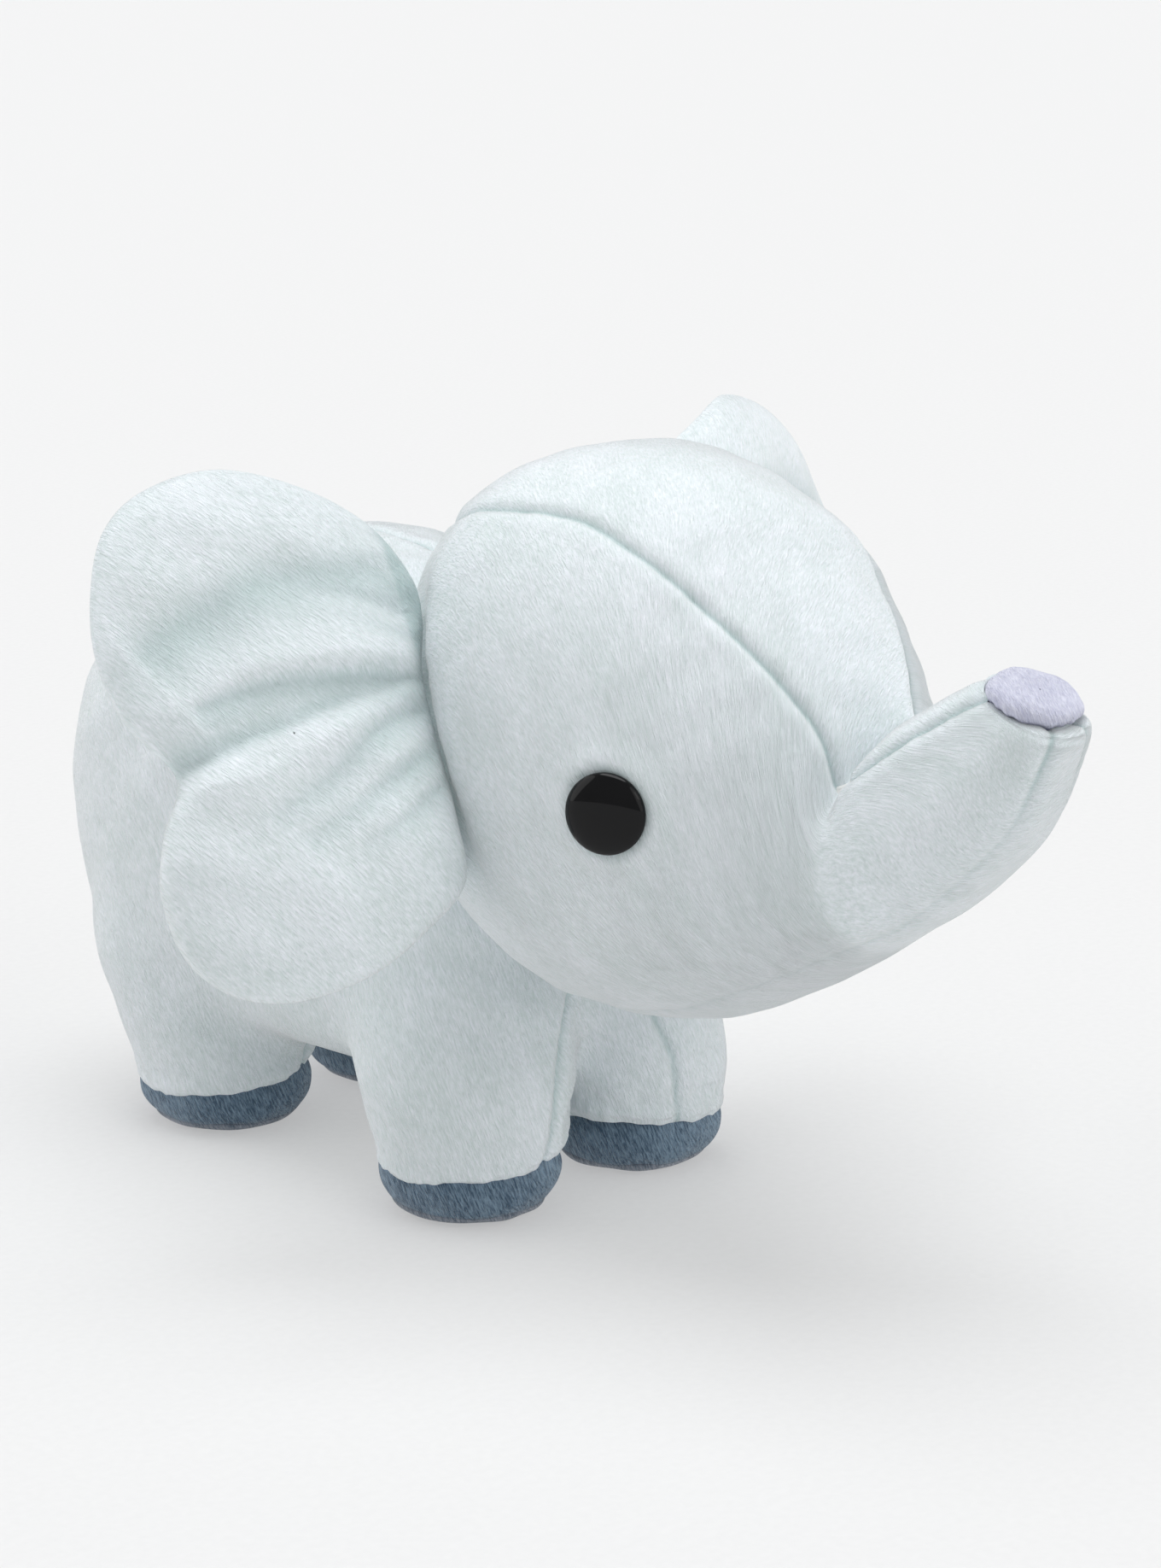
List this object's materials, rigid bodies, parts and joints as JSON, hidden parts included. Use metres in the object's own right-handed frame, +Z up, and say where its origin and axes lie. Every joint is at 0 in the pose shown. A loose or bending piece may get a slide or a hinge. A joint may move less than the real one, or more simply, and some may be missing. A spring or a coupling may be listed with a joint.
{
  "type": "stuffed toy elephant",
  "caption": "Standing stuffed elephant with a raised trunk, puffed ears that flap, a head that nods, contrasting feet and glossy domed eyes.",
  "frame": {"origin": "on the floor, under the middle of the toy's bounding box", "axes": "+Z up, the elephant faces -Y, its left side is +X"},
  "size_m": [0.2512, 0.3516, 0.1993],
  "materials": {
    "mint_plush": "short pile, matt",
    "mint_plush_shade": "short pile, matt",
    "slate_plush": "short pile, matt",
    "slate_sole_plush": "short pile, matt",
    "lavender_plush": "short pile, matt",
    "stuffing_fibre": "loose fibre, matt",
    "eye_plastic": "polished",
    "washer_plastic": "as moulded"
  },
  "bodies": {
    "torso": {"body_side_panel_left": "mint_plush", "body_side_panel_right": "mint_plush", "belly_gusset": "mint_plush_shade", "body_stuffing": "stuffing_fibre", "foot_band_front_left": "slate_plush", "foot_band_front_right": "slate_plush", "foot_band_rear_left": "slate_plush", "foot_band_rear_right": "slate_plush", "foot_sole_front_left": "slate_sole_plush", "foot_sole_front_right": "slate_sole_plush", "foot_sole_rear_left": "slate_sole_plush", "foot_sole_rear_right": "slate_sole_plush"},
    "head": {"head_top_gusset": "mint_plush_shade", "head_under_gusset": "mint_plush_shade", "head_side_panel_left": "mint_plush", "head_side_panel_right": "mint_plush", "trunk_tip_patch": "lavender_plush", "head_stuffing": "stuffing_fibre", "eye_left": "eye_plastic", "eye_right": "eye_plastic", "eye_washer_left": "washer_plastic", "eye_washer_right": "washer_plastic"},
    "ear_left": {"ear_front_panel_left": "mint_plush", "ear_back_panel_left": "mint_plush_shade", "ear_filling_left": "stuffing_fibre"},
    "ear_right": {"ear_front_panel_right": "mint_plush", "ear_back_panel_right": "mint_plush_shade", "ear_filling_right": "stuffing_fibre"},
    "tail": {"tail": "mint_plush"}
  },
  "joints": [
    {"name": "neck_nod", "type": "hinge", "parent": "torso", "child": "head", "pos_m": [0, -0.0603, 0.135], "axis": [1, 0, 0], "range_deg": [-8, 8], "stiffness_Nm_per_rad": 0.6},
    {"name": "ear_left_flap", "type": "hinge", "parent": "head", "child": "ear_left", "pos_m": [0.0575, -0.0163, 0.134], "axis": [0.127, -0.4591, -0.8792], "range_deg": [-20, 45], "stiffness_Nm_per_rad": 0.04},
    {"name": "ear_right_flap", "type": "hinge", "parent": "head", "child": "ear_right", "pos_m": [-0.0575, -0.0163, 0.134], "axis": [0.127, 0.4591, 0.8792], "range_deg": [-20, 45], "stiffness_Nm_per_rad": 0.04},
    {"name": "tail_swing", "type": "hinge", "parent": "torso", "child": "tail", "pos_m": [0, 0.1606, 0.117], "axis": [0, 0.9061, 0.423], "range_deg": [-30, 30], "stiffness_Nm_per_rad": 0.02}
  ]
}
